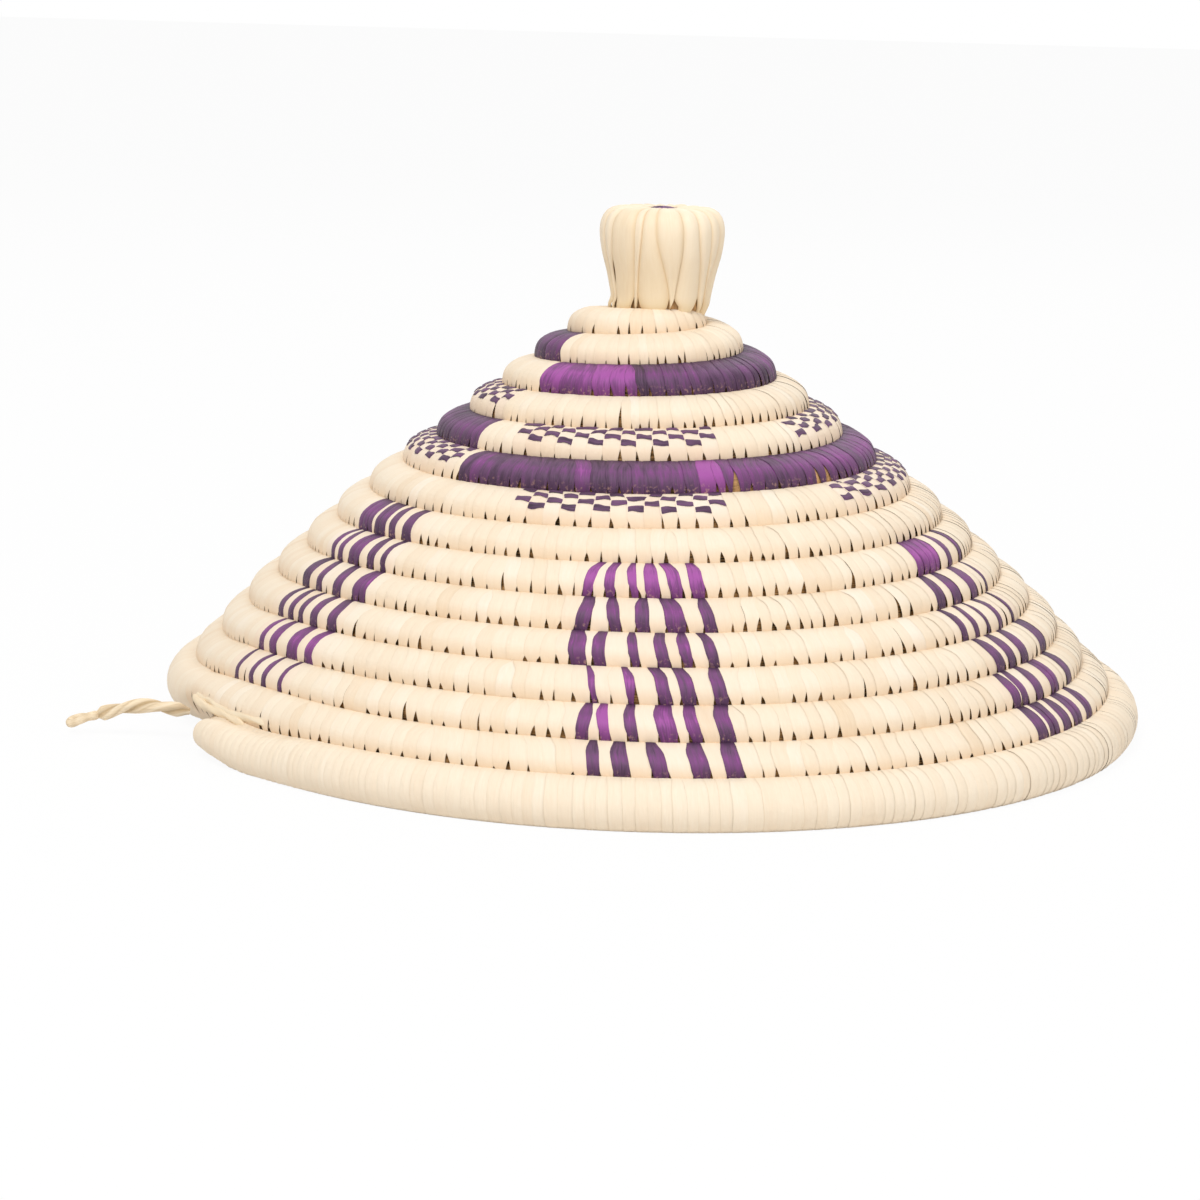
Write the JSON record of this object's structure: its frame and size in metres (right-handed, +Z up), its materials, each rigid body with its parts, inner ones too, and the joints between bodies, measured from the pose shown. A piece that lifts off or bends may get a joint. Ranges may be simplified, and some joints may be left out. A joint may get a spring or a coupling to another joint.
{
  "type": "coiled basketry food cover",
  "caption": "Conical food cover of coiled basketry, cream raffia stitched over a bundle, with violet bands, checker patches and stripes, a wrapped knob and a hanging loop.",
  "frame": {"origin": "middle of the rim's outline on the surface that the cover stands on, leaving the hanging loop out", "axes": "+Z up through the knob, -Y towards the side the picture shows, +X to that side's right; the hanging loop lies at -X"},
  "size_m": [0.3691, 0.3442, 0.1808],
  "materials": {
    "natural_raffia": "dry satin plant fibre",
    "violet_raffia": "dyed satin plant fibre",
    "broad_raffia": "smooth satin plant fibre",
    "grass_bundle": "matt dry grass",
    "twisted_raffia": "matt twisted plant fibre"
  },
  "bodies": {
    "cover": {"crown_coil": "natural_raffia", "upper_band": "violet_raffia", "collar_coil": "natural_raffia", "lower_band": "violet_raffia", "shoulder_coil": "natural_raffia", "skirt_upper_coil": "natural_raffia", "skirt_middle_coil": "natural_raffia", "skirt_lower_coil": "natural_raffia", "rim_coil": "natural_raffia", "knob_core": "grass_bundle", "knob_strip_01": "broad_raffia", "knob_strip_02": "broad_raffia", "knob_strip_03": "broad_raffia", "knob_strip_04": "broad_raffia", "knob_strip_05": "broad_raffia", "knob_strip_06": "broad_raffia", "knob_strip_07": "broad_raffia", "knob_strip_08": "broad_raffia", "knob_strip_09": "broad_raffia", "knob_strip_10": "broad_raffia", "knob_strip_11": "broad_raffia", "knob_strip_12": "broad_raffia", "knob_strip_13": "broad_raffia", "knob_strip_14": "broad_raffia", "knob_strip_15": "broad_raffia", "knob_strip_16": "broad_raffia", "knob_strip_17": "broad_raffia", "knob_strip_18": "broad_raffia", "knob_strip_19": "broad_raffia", "knob_strip_20": "broad_raffia", "knob_strip_21": "broad_raffia", "knob_button": "violet_raffia", "loop_lashing": "twisted_raffia"},
    "hang_loop": {"loop_cord": "twisted_raffia", "loop_eye": "twisted_raffia"}
  },
  "joints": [
    {"name": "loop_swing", "type": "hinge", "parent": "cover", "child": "hang_loop", "pos_m": [-0.15397, -0.06669, 0.00989], "axis": [0.0692, 0.9976, 0], "range_deg": [0, 50]}
  ]
}
